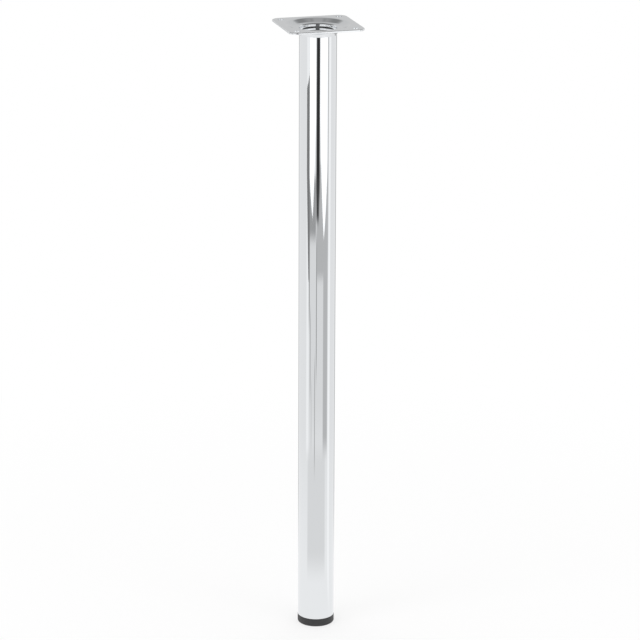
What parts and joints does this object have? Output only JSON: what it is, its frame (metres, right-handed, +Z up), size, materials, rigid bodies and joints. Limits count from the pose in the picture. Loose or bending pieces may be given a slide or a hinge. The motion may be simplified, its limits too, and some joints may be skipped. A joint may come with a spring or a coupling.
{
  "type": "table leg",
  "caption": "Round chromed steel table leg with a square drawn mounting plate and a black screw-in levelling foot.",
  "frame": {"origin": "centre of the foot's sole, on the floor", "axes": "+Z up along the tube's axis, towards the mounting plate; X and Y along the plate's edges"},
  "size_m": [0.086, 0.086, 0.71],
  "materials": {
    "chrome_plate": "bright chrome plating on pressed steel",
    "chrome_tube": "bright chrome plating on drawn steel tube",
    "insert_plastic": "moulded black plastic",
    "zinc_steel": "zinc plated steel",
    "foot_plastic": "moulded black plastic, satin"
  },
  "bodies": {
    "leg": {"mounting_plate": "chrome_plate", "leg_tube": "chrome_tube", "foot_insert": "insert_plastic", "captive_nut": "zinc_steel"},
    "foot": {"foot_stem": "zinc_steel", "foot_pad": "foot_plastic"}
  },
  "joints": [
    {"name": "foot_height", "type": "slide", "parent": "leg", "child": "foot", "axis": [0, 0, -1], "range_m": [0, 0.02]}
  ]
}
